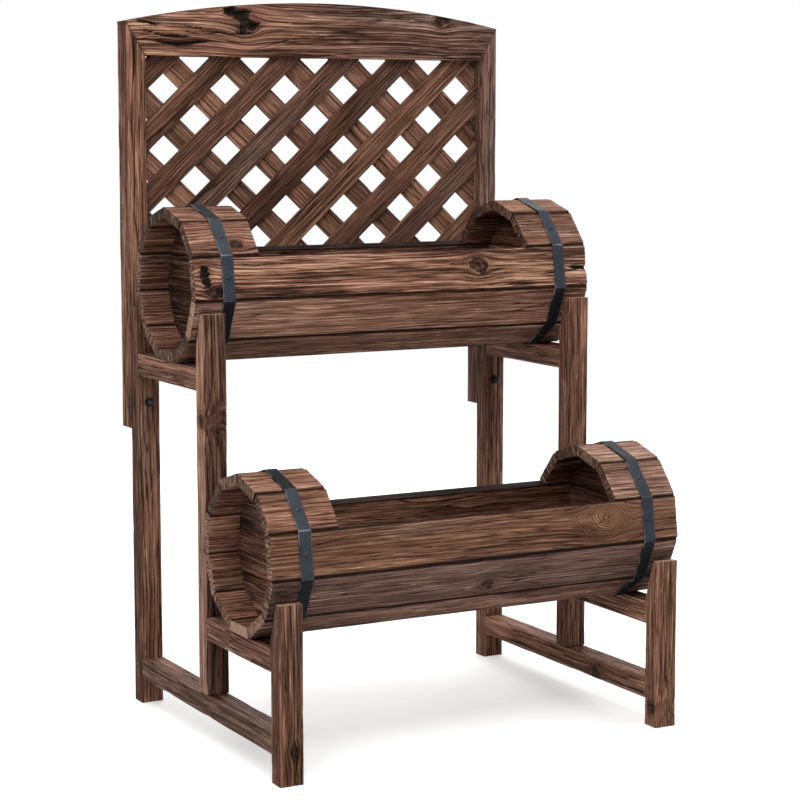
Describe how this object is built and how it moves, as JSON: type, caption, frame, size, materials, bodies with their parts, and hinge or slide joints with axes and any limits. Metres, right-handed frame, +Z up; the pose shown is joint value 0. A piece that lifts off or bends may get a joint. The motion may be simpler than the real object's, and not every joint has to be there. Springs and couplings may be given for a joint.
{
  "type": "wooden barrel planter",
  "caption": "Stepped wooden stand that carries half-open barrels on their sides for plants, bound with black steel bands, under an arched lattice trellis.",
  "frame": {"origin": "on the floor, at the middle of the bounding box's bottom face", "axes": "+X to the right seen from the front, -Y towards the front, +Z up"},
  "size_m": [0.613, 0.523, 0.9949],
  "materials": {
    "frame_wood": "wire-brushed dark brown stain, matt",
    "barrel_wood": "wire-brushed dark brown stain, matt",
    "head_wood": "wire-brushed dark brown stain, matt",
    "trellis_wood": "wire-brushed dark brown stain, matt",
    "lattice_wood": "wire-brushed dark brown stain, matt",
    "dowel_wood": "plain turned beech",
    "band_steel": "black satin paint",
    "black_fixings": "black satin paint",
    "screw_steel": "zinc plated"
  },
  "bodies": {
    "root": {"lattice_back_slats": "lattice_wood", "lattice_front_slats": "lattice_wood", "left_back_leg": "frame_wood", "left_bottom_rail": "frame_wood", "left_frame_dowels": "dowel_wood", "left_front_leg": "frame_wood", "left_lower_cross_rail": "frame_wood", "left_mid_leg": "frame_wood", "left_upper_cross_rail": "frame_wood", "lower_barrel_back_bottom_stave": "barrel_wood", "lower_barrel_back_stave": "barrel_wood", "lower_barrel_back_under_stave": "barrel_wood", "lower_barrel_band_nails": "black_fixings", "lower_barrel_bottom_stave": "barrel_wood", "lower_barrel_front_bottom_stave": "barrel_wood", "lower_barrel_front_stave": "barrel_wood", "lower_barrel_front_under_stave": "barrel_wood", "lower_barrel_left_back_top_staves": "barrel_wood", "lower_barrel_left_band": "band_steel", "lower_barrel_left_front_top_staves": "barrel_wood", "lower_barrel_left_head": "head_wood", "lower_barrel_rail_screws": "screw_steel", "lower_barrel_right_back_top_staves": "barrel_wood", "lower_barrel_right_band": "band_steel", "lower_barrel_right_front_top_staves": "barrel_wood", "lower_barrel_right_head": "head_wood", "right_back_leg": "frame_wood", "right_bottom_rail": "frame_wood", "right_frame_dowels": "dowel_wood", "right_front_leg": "frame_wood", "right_lower_cross_rail": "frame_wood", "right_mid_leg": "frame_wood", "right_upper_cross_rail": "frame_wood", "trellis_bolts": "black_fixings", "trellis_bottom_rail": "trellis_wood", "trellis_cap_nuts": "black_fixings", "trellis_dowels": "dowel_wood", "trellis_left_stile": "trellis_wood", "trellis_right_stile": "trellis_wood", "trellis_top_rail": "trellis_wood", "trellis_washers": "black_fixings", "upper_barrel_back_bottom_stave": "barrel_wood", "upper_barrel_back_stave": "barrel_wood", "upper_barrel_back_under_stave": "barrel_wood", "upper_barrel_band_nails": "black_fixings", "upper_barrel_bottom_stave": "barrel_wood", "upper_barrel_front_bottom_stave": "barrel_wood", "upper_barrel_front_stave": "barrel_wood", "upper_barrel_front_under_stave": "barrel_wood", "upper_barrel_left_back_top_staves": "barrel_wood", "upper_barrel_left_band": "band_steel", "upper_barrel_left_front_top_staves": "barrel_wood", "upper_barrel_left_head": "head_wood", "upper_barrel_rail_screws": "screw_steel", "upper_barrel_right_back_top_staves": "barrel_wood", "upper_barrel_right_band": "band_steel", "upper_barrel_right_front_top_staves": "barrel_wood", "upper_barrel_right_head": "head_wood"}
  },
  "joints": []
}
